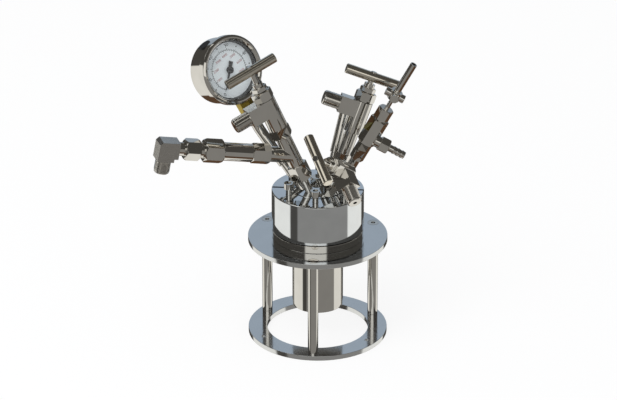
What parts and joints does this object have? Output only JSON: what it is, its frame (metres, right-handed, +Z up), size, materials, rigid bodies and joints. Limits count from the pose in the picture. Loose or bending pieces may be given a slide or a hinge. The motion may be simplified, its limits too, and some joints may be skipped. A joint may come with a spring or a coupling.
{
  "type": "hydrothermal reactor",
  "caption": "Bench-top hydrothermal pressure reactor on a three-post ring stand, with split clamp, needle valves, gauge, burst-disc arm and sampling column.",
  "frame": {"origin": "centre of the base ring, on its underside", "axes": "+Z up along the vessel axis; one post stands towards -Y and the clamp opens along X"},
  "size_m": [0.2566, 0.1574, 0.308],
  "materials": {
    "polished_steel": "mirror polished stainless steel",
    "satin_steel": "satin stainless steel",
    "brass": "turned brass",
    "ptfe": "smooth white PTFE",
    "gauge_glass": "clear",
    "dial_paint": "matte light grey with a printed scale",
    "pointer_paint": "matte black",
    "vent_rubber": "matte black"
  },
  "bodies": {
    "reactor": {"arm_coupling": "polished_steel", "arm_elbow": "polished_steel", "arm_tube": "polished_steel", "base_ring": "polished_steel", "burst_disc": "polished_steel", "burst_disc_holder": "polished_steel", "burst_disc_union_nut": "polished_steel", "clamp_half_front": "polished_steel", "clamp_half_rear": "polished_steel", "column_cap_nut": "polished_steel", "column_jacket": "polished_steel", "column_tube": "polished_steel", "compression_bolts": "polished_steel", "cross_fitting": "polished_steel", "dip_tube": "polished_steel", "front_port_connector": "polished_steel", "front_valve_body": "polished_steel", "front_valve_bonnet": "polished_steel", "front_valve_packing_nut": "polished_steel", "gasket": "ptfe", "gauge_adaptor_nut": "polished_steel", "gauge_bezel": "polished_steel", "gauge_case": "polished_steel", "gauge_dial": "dial_paint", "gauge_glass": "gauge_glass", "gauge_riser": "polished_steel", "gauge_socket": "brass", "gauge_vent_plug": "vent_rubber", "hose_barb": "polished_steel", "left_port_connector": "polished_steel", "left_riser_nut": "polished_steel", "left_riser_tee": "polished_steel", "left_valve_body": "polished_steel", "left_valve_bonnet": "polished_steel", "left_valve_packing_nut": "polished_steel", "lid": "polished_steel", "lid_plug": "polished_steel", "liner": "ptfe", "post_screws": "polished_steel", "right_port_connector": "polished_steel", "right_riser": "polished_steel", "right_valve_body": "polished_steel", "right_valve_bonnet": "polished_steel", "right_valve_packing_nut": "polished_steel", "spare_port_plug": "polished_steel", "spare_port_tube": "polished_steel", "support_plate": "polished_steel", "support_post_1": "polished_steel", "support_post_2": "polished_steel", "support_post_3": "polished_steel", "thermowell": "polished_steel", "tip_tube": "polished_steel", "vessel": "polished_steel"},
    "left_stem": {"left_valve_stem": "polished_steel"},
    "left_handle": {"left_valve_handle": "satin_steel"},
    "right_stem": {"right_valve_stem": "polished_steel"},
    "right_handle": {"right_valve_handle": "satin_steel"},
    "front_stem": {"front_valve_stem": "polished_steel"},
    "front_handle": {"front_valve_handle": "satin_steel"},
    "pointer": {"gauge_pointer": "pointer_paint"}
  },
  "joints": [
    {"name": "left_stem_rise", "type": "slide", "parent": "reactor", "child": "left_stem", "axis": [-0.4037, -0.0339, 0.9143], "range_m": [-0.007, 0]},
    {"name": "left_handle_turn", "type": "hinge", "parent": "left_stem", "child": "left_handle", "pos_m": [-0.06523, -0.01335, 0.28874], "axis": [-0.4037, -0.0339, 0.9143], "range_deg": [-1800, 0]},
    {"name": "right_stem_rise", "type": "slide", "parent": "reactor", "child": "right_stem", "axis": [0.3257, 0.2272, 0.9178], "range_m": [0, 0.007]},
    {"name": "right_handle_turn", "type": "hinge", "parent": "right_stem", "child": "right_handle", "pos_m": [0.05175, 0.03657, 0.26492], "axis": [0.3257, 0.2272, 0.9178], "range_deg": [0, 1800]},
    {"name": "front_stem_rise", "type": "slide", "parent": "reactor", "child": "front_stem", "axis": [-0.4902, -0.6698, 0.5577], "range_m": [-0.007, 0]},
    {"name": "front_handle_turn", "type": "hinge", "parent": "front_stem", "child": "front_handle", "pos_m": [0.00505, -0.06372, 0.21844], "axis": [-0.4902, -0.6698, 0.5577], "range_deg": [-1800, 0]},
    {"name": "gauge_pointer_turn", "type": "hinge", "parent": "reactor", "child": "pointer", "pos_m": [-0.09038, 0.02436, 0.27288], "axis": [0.6158, -0.7033, 0.3552], "range_deg": [-270, 0]}
  ],
  "couplings": [
    {"joint": "left_stem_rise", "follows": "left_handle_turn", "m_per_rad": 0.00022282},
    {"joint": "right_stem_rise", "follows": "right_handle_turn", "m_per_rad": 0.00022282},
    {"joint": "front_stem_rise", "follows": "front_handle_turn", "m_per_rad": 0.00022282}
  ]
}
